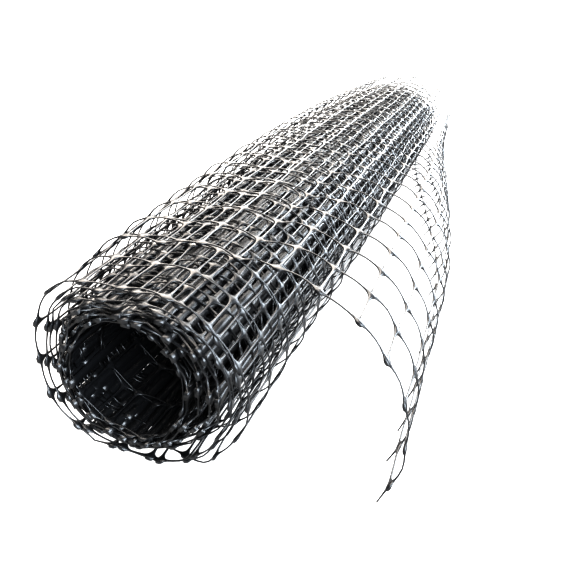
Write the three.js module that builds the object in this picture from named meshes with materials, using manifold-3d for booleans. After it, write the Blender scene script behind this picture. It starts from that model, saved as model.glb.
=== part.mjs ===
// Roll of plastic poultry netting, lying on its side with its loose end standing off the roll.
// Units are millimetres, +Z is up. The roll lies along Y with its near end at low Y, and the
// loose end leaves the top of the roll towards +X and arches down to the floor.
//
// The net is one extruded and stretched sheet: thick knots joined by thin strands. Here it is
// two solids. The wound roll is a spiral strip with the net's rows raised on its outer face,
// and the loose end is open net, strand by strand.

import * as THREE from "three";
import Module from "manifold-3d";

// Net
const NET_WIDTH = 1000; // measured along the roll
const MESHES_ACROSS = 26; // meshes from one edge of the net to the other
const MESH_ALONG = NET_WIDTH / MESHES_ACROSS; // knot to knot along the roll
const STRAND = 1.6; // width and thickness of a strand halfway between knots
const KNOT = 4.4; // side of a knot
const KNOT_THICK = 2.4;

// Wound roll
const BORE_CENTRE = { x: -54.8, z: 68 };
const NEAR_END = -533.1;
const TWISTS = 5; // main turns of the spiral strip
const STRIP_SHARE = 0.55; // how much of the distance between turns is strip, the rest is air
const LEAVE_ANGLE = 50; // where the loose end leaves, in degrees above +X seen from the near end
const ROWS_PER_TURN = 16; // rows of knots round the outermost turn
const LENGTH_STEPS = 6; // straight stretches that follow the swelling along the roll
const RIDGE_HEIGHT = 1.4; // how far the net's rows stand out of the strip's face
const RIDGE_HALF = 1.6;
const RIDGE_TOP_HALF = 0.5;
const RIDGE_ROOT = 0.8; // how deep a ring ridge is sunk into the strip
const MESHES_PER_RING = 2; // ring ridges stand at twice the net's pitch
const SWELL = 13; // how much looser the turns stand halfway along, at upper left
const SWELL_ANGLE = 140;
const EDGE_SHIFT = 1.7; // meshes by which the outermost turn has slid along the roll
const SLIDE_FROM = 0.1; // turns back from the loose end where the sliding starts to fade
const SLIDE_TO = 0.9; // and where it has gone
const CLEARANCE = 0.3; // from the roll to the first strands of the loose end

// The wound form seen from the near end: distance of the outermost face and of the bore's
// wall from the bore's centre. The roll sags, so it is wider than high and its bore lies low.
const WOUND_FORM = [
  { angle: 0, outer: 94.0, bore: 43.5 },
  { angle: 30, outer: 94.5, bore: 44.5 },
  { angle: 60, outer: 86.0, bore: 48.0 },
  { angle: 90, outer: 73.0, bore: 47.5 },
  { angle: 120, outer: 72.5, bore: 44.0 },
  { angle: 150, outer: 70.0, bore: 44.0 },
  { angle: 180, outer: 71.5, bore: 47.0 },
  { angle: 210, outer: 75.0, bore: 44.5 },
  { angle: 240, outer: 74.5, bore: 45.5 },
  { angle: 270, outer: 67.5, bore: 48.5 },
  { angle: 300, outer: 77.0, bore: 49.0 },
  { angle: 330, outer: 83.0, bore: 44.5 },
];

// The rows of knots of the loose end, from the roll to the cut: their place from the bore's
// centre at the near end, where the end springs out in a high arch, and at the far end, where
// it hugs the roll. Shift is how many meshes the row has slid along the roll.
const LOOSE_ROWS = [
  { nearX: 93.0, nearZ: 74.0, farX: 89.0, farZ: 62.0, shift: 1.6 },
  { nearX: 123.8, nearZ: 66.0, farX: 107.0, farZ: 38.5, shift: 1.4 },
  { nearX: 153.0, nearZ: 53.8, farX: 115.0, farZ: 10.5, shift: 1.2 },
  { nearX: 175.0, nearZ: 33.0, farX: 114.0, farZ: -18.5, shift: 0.95 },
  { nearX: 189.6, nearZ: 7.7, farX: 103.0, farZ: -44.5, shift: 0.75 },
  { nearX: 193.4, nearZ: -19.0, farX: 85.0, farZ: -61.5, shift: 0.55 },
  { nearX: 187.3, nearZ: -44.3, farX: 58.0, farZ: -64.8, shift: 0.3 },
];
const LOOSE_TAIL = { nearX: 179.0, nearZ: -56.5, farX: 44.5, farZ: -65.2, shift: 0.2 };
const HUG_START = 5; // meshes along the roll where the arch begins to close
const HUG_END = 23; // and where it hugs the roll

const wasm = await Module();
wasm.setup();

const blackPlastic = new THREE.MeshStandardMaterial({
  color: 0x15161a,
  roughness: 0.32,
  metalness: 0,
});

// Runs smoothly from 0 at low to 1 at high.
function easeBetween(low, high, value) {
  const t = THREE.MathUtils.clamp((value - low) / (high - low), 0, 1);
  return t * t * (3 - 2 * t);
}

// A column of WOUND_FORM at any angle, on a smooth closed curve through its rows.
function formAt(angle, column) {
  const count = WOUND_FORM.length;
  const place = (THREE.MathUtils.euclideanModulo(angle, 360) / 360) * count;
  const row = Math.floor(place);
  const t = place - row;
  const [a, b, c, d] = [-1, 0, 1, 2].map((k) => WOUND_FORM[(row + k + count) % count][column]);
  return b + 0.5 * t * (c - a + t * (2 * a - 5 * b + 4 * c - d + t * (3 * (b - c) + d - a)));
}

// The turns stand further apart halfway along the roll, most of all at upper left.
function swellAt(angle, across) {
  const facing = Math.max(0, Math.cos(THREE.MathUtils.degToRad(angle - SWELL_ANGLE)));
  return SWELL * facing * Math.sin((Math.PI * across) / NET_WIDTH);
}

// How far the net has slid along the roll, by how many turns it lies back from the loose end.
function slideAt(back) {
  return EDGE_SHIFT * MESH_ALONG * (1 - easeBetween(SLIDE_FROM, SLIDE_TO, back));
}

// Distance between neighbouring turns of the strip, which is largest where the wall is thick.
function turnPitch(angle) {
  return (formAt(angle, "outer") - formAt(angle, "bore")) / (TWISTS - 1 + STRIP_SHARE);
}

// A point of the wound strip. back counts turns from the leaving line inwards, across runs
// from the near edge of the net to its far edge, and lift is the height over the outer face.
// No point lies below the floor, which presses a flat spot into the lowest turn.
function woundPoint(back, across, lift) {
  const angle = LEAVE_ANGLE + 360 * back;
  const turn = THREE.MathUtils.degToRad(angle);
  const face = formAt(angle, "outer") + (1 - back) * turnPitch(angle);
  const reach = (TWISTS - back) / TWISTS;
  const radius = face + lift + swellAt(angle, across) * reach;
  const height = BORE_CENTRE.z + radius * Math.sin(turn);
  const floor = Math.min(Math.max(-lift, 0), STRIP_SHARE * turnPitch(angle));
  return new THREE.Vector3(
    BORE_CENTRE.x + radius * Math.cos(turn),
    NEAR_END + across + slideAt(back),
    Math.max(height, floor),
  );
}

// The strip's section as a closed list of { back, lift }: out along its outer face, where the
// last turn carries a ridge at each row of knots, and back along its inner face.
function stripSection() {
  const steps = TWISTS * ROWS_PER_TURN;
  const outside = [];
  const inside = [];
  for (let step = 0; step <= steps; step++) {
    const back = (steps - step) / ROWS_PER_TURN;
    const thick = STRIP_SHARE * turnPitch(LEAVE_ANGLE + 360 * back);
    inside.unshift({ back, lift: -thick });
    const ridged = back < 1 && step < steps;
    const aside = RIDGE_HALF / (2 * Math.PI * formAt(LEAVE_ANGLE + 360 * back, "outer"));
    if (ridged) outside.push({ back: back + aside, lift: 0 });
    outside.push({ back, lift: ridged ? RIDGE_HEIGHT : 0 });
    if (ridged) outside.push({ back: back - aside, lift: 0 });
  }
  return [...outside, ...inside];
}

// A closed tube through rings of points that have the same count, with flat ends. The ends
// are filled as the outline asks, which is the same ring seen along the tube.
function tubeThrough(rings, outline) {
  const count = rings[0].length;
  const places = rings.flat().flatMap((point) => [point.x, point.y, point.z]);
  const faces = [];
  for (let ring = 0; ring + 1 < rings.length; ring++) {
    for (let i = 0; i < count; i++) {
      const a = ring * count + i;
      const b = ring * count + ((i + 1) % count);
      faces.push(a, a + count, b, b, a + count, b + count);
    }
  }
  const last = (rings.length - 1) * count;
  const turned = THREE.ShapeUtils.isClockWise(outline);
  for (const [a, c, d] of THREE.ShapeUtils.triangulateShape(outline, [])) {
    const [b, e] = turned ? [d, c] : [c, d];
    faces.push(a, b, e, last + a, last + e, last + b);
  }
  const geometry = new THREE.BufferGeometry();
  geometry.setAttribute("position", new THREE.Float32BufferAttribute(places, 3));
  geometry.setIndex(faces);
  return geometry;
}

// A solid of a closed geometry, turned so that its faces point outwards.
function solidOf(geometry) {
  const index = geometry.index.array.slice();
  const build = () =>
    new wasm.Manifold(
      new wasm.Mesh({
        numProp: 3,
        vertProperties: new Float32Array(geometry.attributes.position.array),
        triVerts: new Uint32Array(index),
      }),
    );
  const solid = build();
  if (solid.volume() > 0) return solid;
  for (let i = 0; i < index.length; i += 3) {
    [index[i + 1], index[i + 2]] = [index[i + 2], index[i + 1]];
  }
  return build();
}

function geometryOf(solid) {
  const { vertProperties, triVerts } = solid.getMesh();
  const geometry = new THREE.BufferGeometry();
  geometry.setAttribute("position", new THREE.BufferAttribute(vertProperties, 3));
  geometry.setIndex(new THREE.BufferAttribute(triVerts, 1));
  return geometry;
}

// The spiral strip, one solid from the bore to the leaving line.
function woundStrip() {
  const section = stripSection();
  const rings = [];
  for (let step = 0; step <= LENGTH_STEPS; step++) {
    const across = (NET_WIDTH * step) / LENGTH_STEPS;
    rings.push(section.map(({ back, lift }) => woundPoint(back, across, lift)));
  }
  const outline = rings[0].map((point) => new THREE.Vector2(point.x, point.z));
  return solidOf(tubeThrough(rings, outline));
}

// One row of the net that runs round the roll, as a ridge on the last turn of the strip.
function ringRidge(across) {
  const profile = [
    { aside: -RIDGE_HALF, lift: -RIDGE_ROOT },
    { aside: RIDGE_HALF, lift: -RIDGE_ROOT },
    { aside: RIDGE_TOP_HALF, lift: RIDGE_HEIGHT },
    { aside: -RIDGE_TOP_HALF, lift: RIDGE_HEIGHT },
  ];
  const rings = [];
  for (let row = 0; row < ROWS_PER_TURN; row++) {
    const back = row / ROWS_PER_TURN;
    rings.push(
      profile.map(({ aside, lift }) => {
        const inNet = THREE.MathUtils.clamp(across + aside, 0, NET_WIDTH);
        return woundPoint(back, inNet, lift);
      }),
    );
  }
  const outline = profile.map(({ aside, lift }) => new THREE.Vector2(aside, lift));
  return solidOf(tubeThrough(rings, outline));
}

function woundRoll() {
  let roll = woundStrip();
  for (let mesh = 0; mesh <= MESHES_ACROSS; mesh += MESHES_PER_RING) {
    roll = roll.add(ringRidge(mesh * MESH_ALONG));
  }
  return new THREE.Mesh(geometryOf(roll), blackPlastic);
}

// A knot's place in the loose end, by its row of LOOSE_ROWS or the tail and its mesh along.
function loosePoint(row, mesh) {
  const hug = easeBetween(HUG_START, HUG_END, mesh);
  return new THREE.Vector3(
    BORE_CENTRE.x + THREE.MathUtils.lerp(row.nearX, row.farX, hug),
    NEAR_END + (mesh + row.shift) * MESH_ALONG,
    BORE_CENTRE.z + THREE.MathUtils.lerp(row.nearZ, row.farZ, hug),
  );
}

// Where a strand of the loose end begins, just clear of the strip's cut face and square to it.
function rootAt(mesh) {
  const across = mesh * MESH_ALONG;
  const thick = STRIP_SHARE * turnPitch(LEAVE_ANGLE);
  const middle = woundPoint(0, across, -thick / 2);
  const out = woundPoint(0, across, 0).sub(middle).normalize();
  const side = new THREE.Vector3(0, 1, 0);
  return { centre: middle.addScaledVector(out.clone().cross(side).negate(), CLEARANCE), side, out };
}

// The loose end is built up from squares of four corners: every knot has one on each of its
// sides, and every strand runs from a knot's side through a thin square to the next knot.
function looseEnd() {
  const places = [];
  const faces = [];
  const quad = (a, b, c, d) => faces.push(a, b, c, a, c, d);
  const strand = (from, to) => {
    for (let i = 0; i < 4; i++) quad(from[i], from[(i + 1) % 4], to[(i + 1) % 4], to[i]);
  };
  // Four corners round a centre, half to either side of it and thick from bottom to top.
  const square = (centre, side, out, half, thick) => {
    const signs = [
      { u: -half, v: -thick / 2 },
      { u: half, v: -thick / 2 },
      { u: half, v: thick / 2 },
      { u: -half, v: thick / 2 },
    ];
    return signs.map(({ u, v }) => {
      const point = centre.clone().addScaledVector(side, u).addScaledVector(out, v);
      return places.push(point.x, point.y, point.z) / 3 - 1;
    });
  };
  const thin = (centre, side, out) => square(centre, side, out, STRAND / 2, STRAND);
  const between = (a, b) => a.clone().lerp(b, 0.5);
  const unit = (from, to) => to.clone().sub(from).normalize();

  const rows = [...LOOSE_ROWS, LOOSE_TAIL];
  const place = (row, mesh) => (row < 0 ? rootAt(mesh).centre : loosePoint(rows[row], mesh));

  const knotAt = (row, mesh) => {
    const centre = place(row, mesh);
    const next = Math.min(mesh + 1, MESHES_ACROSS);
    const along = unit(place(row, Math.max(mesh - 1, 0)), place(row, next));
    const round = unit(place(row - 1, mesh), place(row + 1, mesh));
    const out = round.clone().cross(along).normalize();
    const back = round.clone().negate();
    const [near, far] = [-KNOT / 2, KNOT / 2].map((offset) =>
      square(centre.clone().addScaledVector(along, offset), back, out, KNOT / 2, KNOT_THICK),
    );
    quad(near[2], near[3], far[3], far[2]);
    quad(near[1], far[1], far[0], near[0]);
    const before = [near[1], far[1], far[2], near[2]];
    const after = [near[0], far[0], far[3], near[3]];
    return { centre, along, back, out, near, far, before, after };
  };
  const knots = LOOSE_ROWS.map((_, row) =>
    Array.from({ length: MESHES_ACROSS + 1 }, (_, mesh) => knotAt(row, mesh)),
  );

  // Strands along the roll, and the closed sides of the knots at both edges of the net.
  for (const row of knots) {
    for (let mesh = 0; mesh < MESHES_ACROSS; mesh++) {
      const [from, to] = [row[mesh], row[mesh + 1]];
      const waist = thin(between(from.centre, to.centre), from.back, from.out);
      strand(from.far, waist);
      strand(waist, to.near);
    }
    quad(...row[0].near.slice().reverse());
    quad(...row[MESHES_ACROSS].far);
  }
  // Strands round the roll, from the roll to the first row and on to the cut tails, which
  // are half a mesh long.
  for (let mesh = 0; mesh <= MESHES_ACROSS; mesh++) {
    const root = rootAt(mesh);
    let from = thin(root.centre, root.side, root.out);
    let fromCentre = root.centre;
    quad(...from.slice().reverse());
    for (const row of knots) {
      const to = row[mesh];
      const waist = thin(between(fromCentre, to.centre), to.along, to.out);
      strand(from, waist);
      strand(waist, to.before);
      from = to.after;
      fromCentre = to.centre;
    }
    const last = knots[knots.length - 1][mesh];
    const cut = thin(loosePoint(LOOSE_TAIL, mesh), last.along, last.out);
    strand(from, cut);
    quad(...cut);
  }

  const geometry = new THREE.BufferGeometry();
  geometry.setAttribute("position", new THREE.Float32BufferAttribute(places, 3));
  geometry.setIndex(faces);
  return new THREE.Mesh(geometryOf(solidOf(geometry)), blackPlastic);
}

const nettingRoll = new THREE.Group();
const roll = woundRoll();
roll.name = "wound_roll";
nettingRoll.add(roll);
const end = looseEnd();
end.name = "loose_end";
nettingRoll.add(end);

export default nettingRoll;
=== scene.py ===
# %% [markdown]
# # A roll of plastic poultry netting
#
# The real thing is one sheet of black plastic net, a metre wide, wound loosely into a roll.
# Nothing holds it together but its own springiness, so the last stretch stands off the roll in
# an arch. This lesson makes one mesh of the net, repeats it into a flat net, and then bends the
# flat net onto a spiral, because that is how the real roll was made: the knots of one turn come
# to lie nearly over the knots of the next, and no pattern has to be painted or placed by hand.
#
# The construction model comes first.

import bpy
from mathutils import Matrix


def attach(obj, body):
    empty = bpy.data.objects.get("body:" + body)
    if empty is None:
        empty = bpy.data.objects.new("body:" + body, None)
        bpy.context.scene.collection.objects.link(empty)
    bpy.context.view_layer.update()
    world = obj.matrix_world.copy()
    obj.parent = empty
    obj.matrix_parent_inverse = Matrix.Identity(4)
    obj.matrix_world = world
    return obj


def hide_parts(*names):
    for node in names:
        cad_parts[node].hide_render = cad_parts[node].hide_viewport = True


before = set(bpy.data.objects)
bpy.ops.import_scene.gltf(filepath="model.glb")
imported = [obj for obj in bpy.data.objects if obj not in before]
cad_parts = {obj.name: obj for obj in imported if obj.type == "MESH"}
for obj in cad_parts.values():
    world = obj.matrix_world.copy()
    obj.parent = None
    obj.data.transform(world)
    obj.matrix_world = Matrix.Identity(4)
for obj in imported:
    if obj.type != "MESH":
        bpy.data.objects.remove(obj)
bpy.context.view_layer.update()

# %% [markdown]
# The rest of the script needs Blender's own modules, and numpy for moving many points at once.

# %% Modules
import math

import bmesh
import bpy
import numpy as np
from mathutils import Euler, Vector

# %% [markdown]
# ## Sizes
#
# All sizes are in metres. The net is 1 m wide and has 26 meshes across it. Round the roll the
# knots come every 31.5 mm. The construction model winds it in five thick main turns. Here it has
# as many turns as it takes to keep the light from shining through.

# %% Sizes of the net and of the roll
NET_WIDTH = 1.0
MESHES_ACROSS = 26
MESH_ALONG = NET_WIDTH / MESHES_ACROSS  # knot to knot along the roll
ROW_PITCH = 0.0315  # knot to knot round the roll
KNOT = 0.0060  # width of the thick spot where strands meet
KNOT_THICK = 0.0028

BORE_CENTRE = (-0.0548, 0.068)  # x and z of the hollow's middle
NEAR_END = -0.5331
TWISTS = 5  # main turns of the construction model's strip
STRIP_SHARE = 0.55
TURNS = 20.85  # turns of real net
LOOSE_TURNS = 4  # turns that hang loose inside the outermost one
LOOSE_GAP = 0.00525  # between them, wherever the wall has room
CORE_WALL = 0.0035  # what the tight turns inside them need at least
LEAVE_ANGLE = 50  # degrees above +X where the loose end leaves
SWELL = 0.015  # how much looser the turns stand halfway along, at upper left
SWELL_ANGLE = 130
EDGE_SHIFT = 1.7  # meshes by which the outermost turn has slid along the roll
SLIDE_FROM, SLIDE_TO = 0.1, 0.9  # turns back from the loose end where the slide fades

print(f"mesh {MESH_ALONG * 1000:.1f} mm along the roll, {ROW_PITCH * 1000:.1f} mm round it")

# %% [markdown]
# The wound form is a short table. A row gives, for an angle seen from the near end, how far
# the outermost face and the hollow's wall are from the hollow's middle. It is the construction
# model's table, but a little fuller at upper left, where single strands stand off the roll.

# %% The wound form, and the rows of the loose end
WOUND_FORM = np.array(
    [
        # outer, hollow
        (94.0, 43.5),  # 0 degrees
        (94.5, 44.5),  # 30
        (86.0, 48.0),  # 60
        (75.0, 47.5),  # 90
        (82.0, 44.0),  # 120
        (76.0, 44.0),  # 150
        (71.0, 47.0),  # 180
        (75.0, 44.5),  # 210
        (74.5, 45.5),  # 240
        (67.5, 48.5),  # 270
        (77.0, 49.0),  # 300
        (83.0, 44.5),  # 330
    ]
) * 0.001
OUTER, HOLLOW = range(2)

# Each row of knots of the loose end: x and z from the hollow's middle at the near end, the
# same at the far end, and how many meshes the row has slid along the roll.
LOOSE_ROWS = np.array(
    [
        (93.0, 74.0, 89.0, 62.0, 1.6),
        (123.8, 66.0, 107.0, 38.5, 1.4),
        (153.0, 53.8, 115.0, 10.5, 1.2),
        (175.0, 33.0, 114.0, -18.5, 0.95),
        (189.6, 7.7, 103.0, -44.5, 0.75),
        (193.4, -19.0, 85.0, -61.5, 0.55),
        (187.3, -44.3, 58.0, -64.8, 0.3),
        (179.0, -56.5, 44.5, -65.2, 0.2),  # the cut ends, half a mesh on
    ]
) * (0.001, 0.001, 0.001, 0.001, 1.0)
HUG_START, HUG_END = 5, 28  # meshes along the roll between which the arch closes

# %% [markdown]
# ## Camera
#
# The camera stands to the right of the near end and looks down along the roll. It is made
# first, so that every later step can be looked at from where the finished picture is taken.

# %% Camera
CAMERA_PLACE = (0.164, -0.808, 0.310)
CAMERA_DOWN = 26.21  # degrees below the horizon
CAMERA_TURN = 20.33  # degrees from +Y towards -X
CAMERA_LENS = 37.2  # mm on a 36 mm sensor

camera = bpy.data.objects.new("camera", bpy.data.cameras.new("camera"))
camera.data.lens = CAMERA_LENS
camera.data.sensor_width = 36
camera.location = CAMERA_PLACE
camera.rotation_euler = Euler((math.radians(90 - CAMERA_DOWN), 0, math.radians(CAMERA_TURN)))
camera.data.clip_start = 0.01
bpy.context.scene.collection.objects.link(camera)
bpy.context.scene.camera = camera
print("camera at", CAMERA_PLACE)

# %% [markdown]
# ## One mesh of the net
#
# Such net is a punched and stretched sheet. Where it wasn't stretched a thick knot is left, and
# the strands run out of it in smooth flares. A knot could be four tubes pushed into a ball, but
# their meeting lines would show. Here it is a small block whose four sides are extruded into
# arms, so the flare is one continuous skin. Each arm ends halfway to the next knot, open, where
# the neighbour's arm is joined to it later. The hidden turns get a plain cell without flares,
# with wide strands along the roll, which shut out the light with few faces.

# %% Knot with four arms
ALONG_ARM = [  # distance from the knot's middle, half width, half thickness
    (0.0038, 0.00095, 0.00080),
    (MESH_ALONG / 2, 0.00082, 0.00070),
]
ROUND_ARM = [
    (0.0037, 0.00068, 0.00066),
    (ROW_PITCH / 2, 0.00056, 0.00055),
]
PLAIN_KNOT = 0.0064
PLAIN_ALONG_ARM = [(MESH_ALONG / 2, PLAIN_KNOT / 2, 0.0007)]
PLAIN_ROUND_ARM = [(0.0032, 0.0008, 0.0006), (ROW_PITCH / 2, 0.0007, 0.0006)]


def add_arm(bm, direction, sections):
    """Extrudes the knot's side that looks in this direction through the sections, and opens it."""
    side = max(bm.faces, key=lambda face: face.normal.dot(direction))
    across = Vector((0, 0, 1)).cross(direction)
    for reach, half_width, half_thick in sections:
        side = bmesh.ops.extrude_discrete_faces(bm, faces=[side])["faces"][0]
        for vert in side.verts:
            width_sign = math.copysign(1, vert.co.dot(across))
            thick_sign = math.copysign(1, vert.co.z)
            vert.co = direction * reach + across * (width_sign * half_width)
            vert.co.z = thick_sign * half_thick
    bmesh.ops.delete(bm, geom=[side], context="FACES_ONLY")


def net_cell(flared):
    """One knot with its four half strands, flat, in a bmesh, flared or plain."""
    knot = KNOT if flared else PLAIN_KNOT
    bm = bmesh.new()
    bmesh.ops.create_cube(bm, size=1)
    bmesh.ops.scale(bm, vec=(knot, knot, KNOT_THICK), verts=bm.verts)
    for direction in (Vector((1, 0, 0)), Vector((-1, 0, 0))):
        add_arm(bm, direction, ALONG_ARM if flared else PLAIN_ALONG_ARM)
    for direction in (Vector((0, 1, 0)), Vector((0, -1, 0))):
        add_arm(bm, direction, ROUND_ARM if flared else PLAIN_ROUND_ARM)
    return bm


print("faces in one cell:", len(net_cell(True).faces), "or plain:", len(net_cell(False).faces))

# %% [markdown]
# ## A flat net
#
# A cell is repeated across the width and then row by row. Array modifiers could do it too, but
# the two edges of the net have to lose their outer arms, and that is one cut in a bmesh. The
# open ends are then filled. Their rims get a crease, because the subdivision that rounds the
# strands would otherwise shrink the ends.


# %% Repeat the cell into a flat net
WELD = 0.00005  # points of neighbouring arms closer than this become one


def repeat(bm, count, step):
    """Repeats everything in the bmesh count times along step and joins the open arms."""
    geometry = bm.verts[:] + bm.edges[:] + bm.faces[:]
    for number in range(1, count):
        copy = bmesh.ops.duplicate(bm, geom=geometry)["geom"]
        moved = [item for item in copy if isinstance(item, bmesh.types.BMVert)]
        bmesh.ops.translate(bm, vec=step * number, verts=moved)
    bmesh.ops.remove_doubles(bm, verts=bm.verts, dist=WELD)


def trim(bm, place, outwards):
    """Cuts off what lies beyond a plane."""
    everything = bm.verts[:] + bm.edges[:] + bm.faces[:]
    bmesh.ops.bisect_plane(
        bm, geom=everything, dist=1e-6, plane_co=place, plane_no=outwards, clear_outer=True
    )


def flat_net(name, first_row, rows, flared):
    """A flat net as an object: x runs across the net, y along its length and z through it."""
    bm = net_cell(flared)
    repeat(bm, MESHES_ACROSS + 1, Vector((MESH_ALONG, 0, 0)))
    trim(bm, Vector((-KNOT * 0.5, 0, 0)), Vector((-1, 0, 0)))
    trim(bm, Vector((NET_WIDTH + KNOT * 0.5, 0, 0)), Vector((1, 0, 0)))
    repeat(bm, rows, Vector((0, ROW_PITCH, 0)))
    bmesh.ops.translate(bm, vec=Vector((0, first_row * ROW_PITCH, 0)), verts=bm.verts)
    crease = bm.edges.layers.float.new("crease_edge")
    rims = [edge for edge in bm.edges if edge.is_boundary]
    for edge in rims:
        edge[crease] = 1
    bmesh.ops.holes_fill(bm, edges=rims, sides=0)
    bmesh.ops.recalc_face_normals(bm, faces=bm.faces)
    mesh = bpy.data.meshes.new(name)
    bm.to_mesh(mesh)
    bm.free()
    mesh.shade_smooth()
    net = bpy.data.objects.new(name, mesh)
    bpy.context.scene.collection.objects.link(net)
    return net


# %% [markdown]
# ## The spiral
#
# Now the place of any point of the net on the roll. The wound form's table is read along a
# smooth closed curve. The outermost turn lies loose on the roll. The next four are about 5 mm
# apart, which takes one mesh off the way round, so their knots stand in line behind each
# other. Inside them the turns are tight, down to the hollow.


# %% Where the wound net lies
def ease(low, high, value):
    """Runs smoothly from 0 at low to 1 at high."""
    t = np.clip((value - low) / (high - low), 0, 1)
    return t * t * (3 - 2 * t)


def curve_through(a, b, c, d, t):
    """A smooth curve from b to c, with a before and d after them."""
    return b + 0.5 * t * (c - a + t * (2 * a - 5 * b + 4 * c - d + t * (3 * (b - c) + d - a)))


def form_at(angle, column):
    """A column of the wound form at any angle."""
    place = (angle % 360) / 360 * len(WOUND_FORM)
    row = np.floor(place).astype(int)
    neighbours = [WOUND_FORM[(row + k) % len(WOUND_FORM), column] for k in (-1, 0, 1, 2)]
    return curve_through(*neighbours, place - row)


# %% [markdown]
# A loose roll is never even. A few long waves, different from turn to turn, move the turns in
# and out, and shallower ones let each turn creep a little along the roll. They come from a
# seeded generator, so that the roll is the same every time.

# %% Unevenness of the turns
chance = np.random.default_rng(27)
WAVE_COUNT = 7
waves_round = chance.uniform(0.6, 3.4, WAVE_COUNT)  # waves in a turn
waves_along = chance.uniform(-1.3, 1.3, WAVE_COUNT)  # waves in the net's width
wave_phase = chance.uniform(0, 2 * math.pi, WAVE_COUNT)
WAVE_HEIGHT = 0.0006
EVEN_TURNS = 0.4  # the waves fade in over this much of the outermost turn
CREEP = 0.0018  # how far a loose turn has crept along the roll
CORE_CREEP = 0.012  # and a tight one
CREEP_WAVES = 0.61  # in a turn
CREEP_FROM, CREEP_TO = 0.5, 1.5  # turns back where the creep fades in
CORE_FROM, CORE_TO = 5.2, 8.0  # turns back where the loose turns pass into the tight core
END_FROM, END_TO = TURNS - 2.4, TURNS - 1.2  # and where the core passes into the inner end
RECESS = 0.010  # how much deeper the hidden turns lie than the two ends of the spiral
PEEL = 0.004  # how far the innermost end stands off into the hollow
PEEL_FROM, PEEL_TO = TURNS - 0.25, TURNS - 0.1
FLOOR_STEP = 0.0008  # how closely the turns are pressed together over the floor


def unevenness(back, across):
    """How far the net stands off its even spiral."""
    height = np.zeros_like(back)
    for round_it, along, phase in zip(waves_round, waves_along, wave_phase):
        height = height + np.sin(2 * math.pi * (round_it * back + along * across) + phase)
    return WAVE_HEIGHT * height


def slide(back):
    """How far the net has slid along the roll: the outermost turn most, the others a little."""
    outermost = EDGE_SHIFT * MESH_ALONG * (1 - ease(SLIDE_FROM, SLIDE_TO, back))
    core = ease(CORE_FROM, CORE_TO, back) * (1 - ease(END_FROM, END_TO, back))
    wave = np.sin(2 * math.pi * CREEP_WAVES * back) * ease(CREEP_FROM, CREEP_TO, back)
    return outermost + (CREEP + CORE_CREEP * core) * wave + RECESS * core


def inset(back, wall):
    """How deep in the wall the net lies, back turns inwards, where the wall is this thick."""
    gap = np.minimum(LOOSE_GAP, (wall - CORE_WALL) / LOOSE_TURNS)
    tight = (back - 1 - LOOSE_TURNS) / (TURNS - 1 - LOOSE_TURNS)
    core = wall - gap * LOOSE_TURNS
    return gap * np.minimum(back - 1, LOOSE_TURNS) + core * np.clip(tight, 0, 1)


def wound_place(back, across):
    """The place of the net, back turns inwards from where the loose end leaves the roll."""
    angle = LEAVE_ANGLE + 360 * back
    turn = np.radians(angle)
    outer = form_at(angle, OUTER) - KNOT_THICK / 2
    hollow = form_at(angle, HOLLOW) + KNOT_THICK / 2
    spring = (outer - hollow) / (TWISTS - 1 + STRIP_SHARE)
    radius = outer + np.where(back < 1, (1 - back) * spring, -inset(back, outer - hollow))
    facing = np.maximum(0, np.cos(np.radians(angle - SWELL_ANGLE)))
    swell = SWELL * facing * np.sin(math.pi * across / NET_WIDTH) * (TURNS - back) / TURNS
    peel = PEEL * ease(PEEL_FROM, PEEL_TO, back)
    radius = radius + swell - peel + unevenness(back, across) * ease(0, EVEN_TURNS, back)
    x = BORE_CENTRE[0] + radius * np.cos(turn)
    z = BORE_CENTRE[1] + radius * np.sin(turn)
    floor = KNOT_THICK / 2 + FLOOR_STEP * back
    return np.stack([x, NEAR_END + across + slide(back), np.maximum(z, floor)], axis=-1)


# %% [markdown]
# The net doesn't stretch, so its rows are spread along the spiral by real length. The length is
# added up in small steps once, and a row then looks up how many turns back it lies.

# %% Length of the spiral
LENGTH_STEPS = 6000
fine_back = np.linspace(0, TURNS, LENGTH_STEPS)
fine_path = wound_place(fine_back, np.zeros_like(fine_back))
steps = np.linalg.norm(np.diff(fine_path[:, [0, 2]], axis=0), axis=1)
fine_length = np.concatenate([[0], np.cumsum(steps)])
WOUND_ROWS = int(fine_length[-1] / ROW_PITCH)
print(f"wound length {fine_length[-1]:.2f} m in {TURNS} turns, {WOUND_ROWS} rows of knots")

# %% [markdown]
# The loose end is a smooth sheet through its rows of knots. It starts where the spiral ends, so
# the row before the first is on the roll, and the curve leaves the roll without a kink.


# %% Where the loose end lies
def loose_row(number, across):
    """The place of a row of the loose end. Row 0 is on the roll, and the last is the cut."""
    if number <= 0:
        back = np.interp(-number * ROW_PITCH, fine_length, fine_back)
        return wound_place(np.full_like(across, back), across)
    near_x, near_z, far_x, far_z, shift = LOOSE_ROWS[number - 1]
    mesh = across / MESH_ALONG
    hug = ease(HUG_START, HUG_END, mesh)
    x = BORE_CENTRE[0] + near_x + (far_x - near_x) * hug
    z = BORE_CENTRE[1] + near_z + (far_z - near_z) * hug
    return np.stack([x, NEAR_END + across + shift * MESH_ALONG, z], axis=-1)


def loose_place(out, across):
    """The place of the loose end, out rows from where it leaves the roll."""
    last = len(LOOSE_ROWS)
    rows = [loose_row(number, across) for number in range(-1, last)]
    last_knots, cut = loose_row(last - 1, across), loose_row(last, across)
    beyond = last_knots + 2 * (cut - last_knots)  # the cut is only half a mesh on
    rows += [beyond, 2 * beyond - rows[-1]]
    rows = np.stack(rows)
    row = np.clip(np.floor(out).astype(int), 0, last - 1)
    pick = np.arange(len(out))
    neighbours = [rows[row + k, pick] for k in range(4)]
    return curve_through(*neighbours, (out - row)[:, None])


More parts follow.
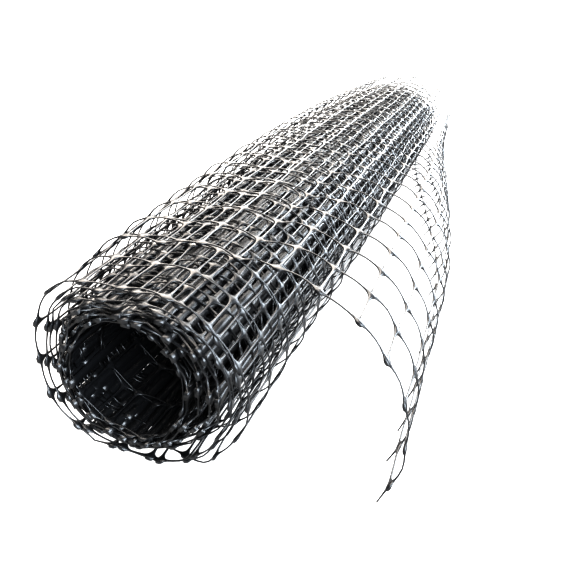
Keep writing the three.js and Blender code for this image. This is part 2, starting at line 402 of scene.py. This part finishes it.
def net_place(across, along):
    """The place on the roll of any point of the flat net. along is below 0 on the loose end."""
    back = np.interp(along, fine_length, fine_back)
    placed = wound_place(back, across)
    loose = along < 0
    if loose.any():
        placed[loose] = loose_place(-along[loose] / ROW_PITCH, across[loose])
    return placed


# %% [markdown]
# ## Bending the net
#
# Every point of the flat net is moved to its place on the roll, and out along the sheet's
# normal by its own height. Before that, each knot is nudged a little, and each strand gets a
# bow of its own. The strands round the roll bulge outwards between their knots, because the
# stiff straight strands along the roll hold the knots in.

# %% Nudges and bows
ROWS_IN_ALL = WOUND_ROWS + len(LOOSE_ROWS) + 2
KNOTS = (ROWS_IN_ALL, MESHES_ACROSS + 2)
INNER_ROWS = 18  # on these the strands are nearly straight and bow into the hollow
LOOP_BOW = -0.0055  # the last strands of all stand off into the hollow in loops
nudge = chance.normal(0, 1, (*KNOTS, 3)) * (0.0006, 0.0008, 0.0004)
round_bow = np.abs(chance.normal(0.0028, 0.0010, KNOTS))
round_bow[-INNER_ROWS:] *= -0.5
round_bow[len(LOOSE_ROWS) + WOUND_ROWS - 2] = LOOP_BOW
along_bow = chance.normal(0.0004, 0.0007, KNOTS)
side_bow = chance.normal(0, 0.0006, KNOTS)
SLOPE_STEP = 0.0008  # how far apart points are taken to find the sheet's slope
FLOOR_REST = 0.0014  # height of a strand's middle where it lies on the floor


def bend(net):
    """Moves the points of a flat net onto the roll."""
    count = len(net.data.vertices)
    points = np.empty(count * 3)
    net.data.vertices.foreach_get("co", points)
    across, along, own_height = points.reshape(-1, 3).T
    height = np.zeros(count)

    row = along / ROW_PITCH + len(LOOSE_ROWS)
    column = np.clip(across / MESH_ALONG, 0, MESHES_ACROSS)
    row_below, column_below = np.floor(row).astype(int), np.floor(column).astype(int)
    row_share, column_share = row - row_below, column - column_below
    row_near, column_near = np.rint(row).astype(int), np.rint(column).astype(int)

    corners = [(i, j) for i in (0, 1) for j in (0, 1)]
    for axis, values in enumerate((across, along, height)):
        for i, j in corners:
            weight = (row_share if i else 1 - row_share) * (column_share if j else 1 - column_share)
            values += weight * nudge[row_below + i, column_below + j, axis]
    row_arc = np.sin(math.pi * row_share)
    column_arc = np.sin(math.pi * column_share)
    height += round_bow[row_below, column_near] * row_arc
    height += along_bow[row_near, column_below] * column_arc
    across += side_bow[row_below, column_near] * row_arc

    placed = net_place(across, along)
    slope_across = net_place(across + SLOPE_STEP, along) - net_place(across - SLOPE_STEP, along)
    slope_along = net_place(across, along + SLOPE_STEP) - net_place(across, along - SLOPE_STEP)
    outwards = np.cross(slope_across, slope_along)
    outwards /= np.linalg.norm(outwards, axis=1)[:, None]
    placed += outwards * height[:, None]
    placed[:, 2] = np.maximum(placed[:, 2], FLOOR_REST)
    placed += outwards * own_height[:, None]
    net.data.vertices.foreach_set("co", placed.ravel())
    net.data.update()


def round_off(net):
    """Rounds the strands and knots with one level of subdivision."""
    smooth = net.modifiers.new("rounded strands", "SUBSURF")
    smooth.levels = smooth.render_levels = 1


# %% [markdown]
# ## Finish
#
# The plastic is black with a soft gloss. What the eye sees is mostly the light that it throws
# back, so the roughness changes a little from place to place, as drawn plastic does, and a fine
# grain in the bump breaks up the glints.


# %% Black plastic
PLASTIC_BLACK = (0.008, 0.0085, 0.0095, 1)
SMOOTHEST, ROUGHEST = 0.30, 0.45
GRAIN_DEPTH = 0.0002


def black_plastic():
    material = bpy.data.materials.new("black plastic")
    material.use_nodes = True
    nodes, links = material.node_tree.nodes, material.node_tree.links
    shader = nodes["Principled BSDF"]
    shader.inputs["Base Color"].default_value = PLASTIC_BLACK
    shader.inputs["IOR"].default_value = 1.5
    place = nodes.new("ShaderNodeTexCoord")
    cloudy = nodes.new("ShaderNodeTexNoise")
    cloudy.inputs["Scale"].default_value = 90
    cloudy.inputs["Detail"].default_value = 3
    links.new(place.outputs["Object"], cloudy.inputs["Vector"])
    gloss = nodes.new("ShaderNodeMapRange")
    gloss.inputs["To Min"].default_value = SMOOTHEST
    gloss.inputs["To Max"].default_value = ROUGHEST
    links.new(cloudy.outputs["Fac"], gloss.inputs["Value"])
    links.new(gloss.outputs["Result"], shader.inputs["Roughness"])
    grain = nodes.new("ShaderNodeTexNoise")
    grain.inputs["Scale"].default_value = 900
    links.new(place.outputs["Object"], grain.inputs["Vector"])
    bump = nodes.new("ShaderNodeBump")
    bump.inputs["Strength"].default_value = 0.25
    bump.inputs["Distance"].default_value = GRAIN_DEPTH
    links.new(grain.outputs["Fac"], bump.inputs["Height"])
    links.new(bump.outputs["Normal"], shader.inputs["Normal"])
    return material


plastic = black_plastic()

# %% [markdown]
# ## The pieces
#
# The net is made in bands of rows, because one mesh of the whole net would be too heavy. A band
# ends halfway between two rows, where its neighbour begins. The outer turns, the innermost one
# and the loose end are seen from close by, so their strands are flared and rounded. The turns
# between them only show as darkness behind the others, so they get the plain cell.

# %% The wound net and the loose end
OUTER_TURNS = 4.8  # seen well from outside
INNER_TURNS = 1.3  # seen well through the hollow
BAND_ROWS = 25


def place_net(name, node, first_row, rows, detailed):
    """Makes one band of net, bends it and hands it over as a piece."""
    net = flat_net(name, first_row, rows, detailed)
    bend(net)
    if detailed:
        round_off(net)
    net.data.materials.append(plastic)
    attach(net, "root")
    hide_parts(node)
    faces = len(net.data.polygons) * (4 if detailed else 1)
    print(name, "has", rows, "rows and about", 2 * faces, "triangles")


def row_at(back):
    """The last row of knots before this many turns back."""
    return int(np.interp(back, fine_back, fine_length) / ROW_PITCH)


outer_rows, inner_row = row_at(OUTER_TURNS), row_at(TURNS - INNER_TURNS)
for part, start, end, detailed in (
    ("outer", 0, outer_rows, True),
    ("hidden", outer_rows, inner_row, False),
    ("inner", inner_row, WOUND_ROWS, True),
):
    for number, first_row in enumerate(range(start, end, BAND_ROWS), start=1):
        rows = min(BAND_ROWS, end - first_row)
        place_net(f"{part}_turns_{number}", "wound_roll", first_row, rows, detailed)

loose_rows = len(LOOSE_ROWS) - 1
place_net("loose_net", "loose_end", -loose_rows, loose_rows, True)

# %% [markdown]
# ## Floor and light
#
# The roll lies on a white light table whose glow is left out under the roll, as a painted shadow.
# Black plastic shows only what it mirrors. The strands along the roll mirror what stands behind
# the far end, so two lamps are there, one high and one low on the right. The strands round the
# roll mirror what is overhead, and the near end mirrors a window in front. The lamps on the right
# are a little cooler, and the one overhead is warmer.


# %% Floor and light
FLOOR_HALF = 60  # far enough that the camera sees no edge
FLOOR_GLOW = 0.6
PAINTED_SHADOW_HALF_WIDTH, PAINTED_SHADOW_HALF_LENGTH = 0.08, 0.52  # the painted shadow under the roll
PAINTED_SHADOW_INSIDE, PAINTED_SHADOW_OUTSIDE = 0.5, 1.1  # shares of the painted shadow where the glow starts and is full


# A pale floor that glows evenly, with a shadow painted under the roll by leaving the glow out
# there.
def pale_floor():
    bm = bmesh.new()
    bmesh.ops.create_grid(bm, x_segments=1, y_segments=1, size=FLOOR_HALF)
    mesh = bpy.data.meshes.new("floor")
    bm.to_mesh(mesh)
    bm.free()
    floor = bpy.data.objects.new("floor", mesh)
    bpy.context.scene.collection.objects.link(floor)
    paint = bpy.data.materials.new("pale floor")
    paint.use_nodes = True
    shader = paint.node_tree.nodes["Principled BSDF"]
    shader.inputs["Base Color"].default_value = (0.08, 0.08, 0.08, 1)
    shader.inputs["Roughness"].default_value = 1
    shader.inputs["Specular IOR Level"].default_value = 0
    shader.inputs["Emission Color"].default_value = (1, 1, 1, 1)
    links = paint.node_tree.links
    place = paint.node_tree.nodes.new("ShaderNodeTexCoord")
    painted_shadow_ball = paint.node_tree.nodes.new("ShaderNodeVectorMath")
    painted_shadow_ball.operation = "MULTIPLY_ADD"  # the painted shadow under the roll becomes a ball of radius 1
    painted_shadow_ball.inputs[1].default_value = (1 / PAINTED_SHADOW_HALF_WIDTH, 1 / PAINTED_SHADOW_HALF_LENGTH, 0)
    painted_shadow_ball.inputs[2].default_value = (-BORE_CENTRE[0] / PAINTED_SHADOW_HALF_WIDTH, 0, 0)
    distance_in_painted_shadow = paint.node_tree.nodes.new("ShaderNodeVectorMath")
    distance_in_painted_shadow.operation = "LENGTH"
    # The glow fades out towards the middle under the roll, which paints the roll's shadow on the
    # floor.
    glow_with_painted_shadow = paint.node_tree.nodes.new("ShaderNodeMapRange")
    glow_with_painted_shadow.inputs["From Min"].default_value = PAINTED_SHADOW_INSIDE
    glow_with_painted_shadow.inputs["From Max"].default_value = PAINTED_SHADOW_OUTSIDE
    glow_with_painted_shadow.inputs["To Max"].default_value = FLOOR_GLOW
    links.new(place.outputs["Object"], painted_shadow_ball.inputs[0])
    links.new(painted_shadow_ball.outputs["Vector"], distance_in_painted_shadow.inputs[0])
    links.new(distance_in_painted_shadow.outputs["Value"], glow_with_painted_shadow.inputs["Value"])
    links.new(glow_with_painted_shadow.outputs["Result"], shader.inputs["Emission Strength"])
    mesh.materials.append(paint)


def soft_lamp(name, place, aim, width, height, power, colour):
    """A rectangle of light that looks at a point."""
    lamp = bpy.data.objects.new(name, bpy.data.lights.new(name, "AREA"))
    lamp.data.shape = "RECTANGLE"
    lamp.data.size = width
    lamp.data.size_y = height
    lamp.data.energy = power
    lamp.data.color = colour
    lamp.location = place
    lamp.rotation_euler = (Vector(aim) - Vector(place)).to_track_quat("-Z", "Y").to_euler()
    bpy.context.scene.collection.objects.link(lamp)


NEUTRAL, COOL, WARM = (1.0, 0.98, 0.95), (0.86, 0.93, 1.0), (1.0, 0.93, 0.86)

pale_floor()
soft_lamp("behind", (-0.2, 1.9, 1.35), (0, -0.3, 0), 2.6, 1.4, 60, NEUTRAL)
soft_lamp("low right", (1.5, 1.7, 0.65), (0, -0.2, 0.1), 2.4, 1.1, 90, COOL)
soft_lamp("overhead", (-0.6, 0.1, 1.8), (0, 0, 0), 2.6, 2.6, 170, WARM)
soft_lamp("window", (1.5, -1.7, 1.2), (0, -0.3, 0.1), 2.0, 1.6, 130, COOL)

world = bpy.data.worlds.new("dim room")
world.use_nodes = True
room = world.node_tree.nodes["Background"]
room.inputs["Color"].default_value = (1, 1, 1, 1)
room.inputs["Strength"].default_value = 0.10
bpy.context.scene.world = world
view = bpy.context.scene.view_settings
view.view_transform = "Standard"
view.gamma = 0.6  # the photograph is hard in contrast
view.exposure = 1.25
